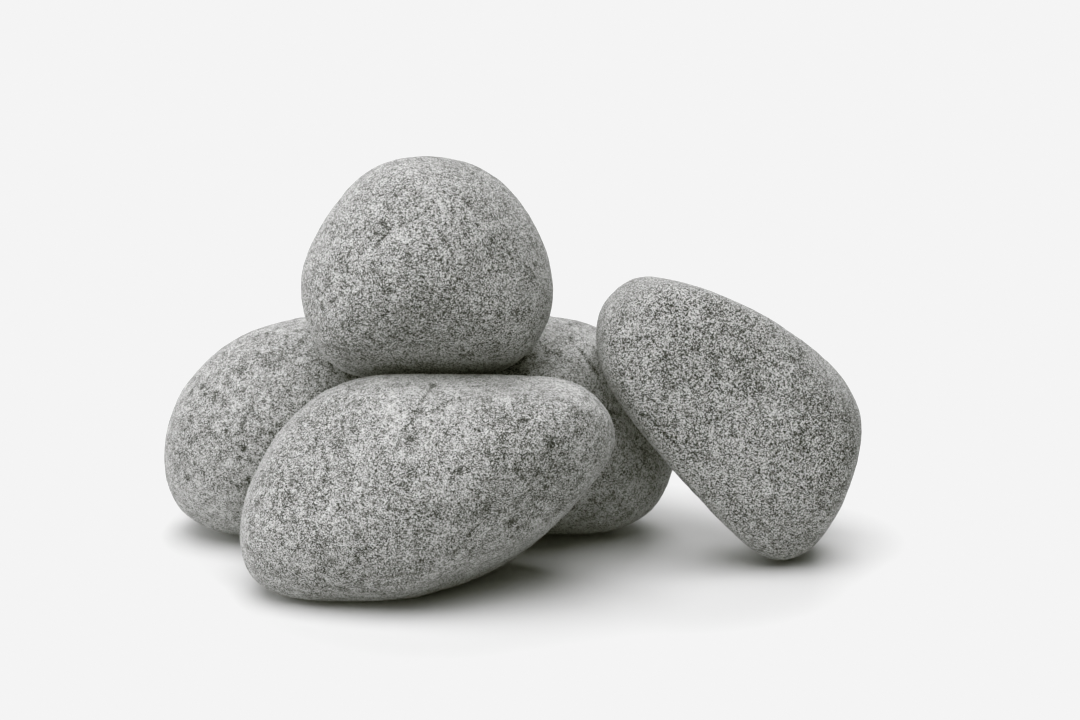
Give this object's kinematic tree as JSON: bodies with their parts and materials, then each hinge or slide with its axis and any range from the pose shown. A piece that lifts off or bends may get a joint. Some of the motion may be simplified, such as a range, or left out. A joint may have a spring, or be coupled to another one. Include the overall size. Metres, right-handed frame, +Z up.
{
  "type": "massage stones",
  "caption": "Pile of loose, smooth, rounded massage stones of speckled grey rock, with one stone on top and a flatter one leaning at the side.",
  "frame": {"origin": "middle of the pile's base, on the surface it stands on", "axes": "+X along the pile towards the leaning stone, +Y from the front stone to the stones behind, +Z up"},
  "size_m": [0.1756, 0.1046, 0.102],
  "materials": {
    "speckled_stone": "matte"
  },
  "bodies": {
    "top": {"top_stone": "speckled_stone"},
    "left": {"left_stone": "speckled_stone"},
    "front": {"front_stone": "speckled_stone"},
    "rear": {"rear_stone": "speckled_stone"},
    "leaning": {"leaning_stone": "speckled_stone"}
  },
  "joints": [
    {"name": "top_lift", "type": "slide", "parent": "rear", "child": "top", "axis": [0, 0, 1], "range_m": [0, 0.1]},
    {"name": "left_draw", "type": "slide", "parent": "rear", "child": "left", "axis": [-0.9397, 0, 0.342], "range_m": [0, 0.1]},
    {"name": "front_draw", "type": "slide", "parent": "rear", "child": "front", "axis": [0, -0.9397, 0.342], "range_m": [0, 0.1]},
    {"name": "leaning_draw", "type": "slide", "parent": "rear", "child": "leaning", "axis": [0.6, 0, 0.8], "range_m": [0, 0.1]}
  ]
}
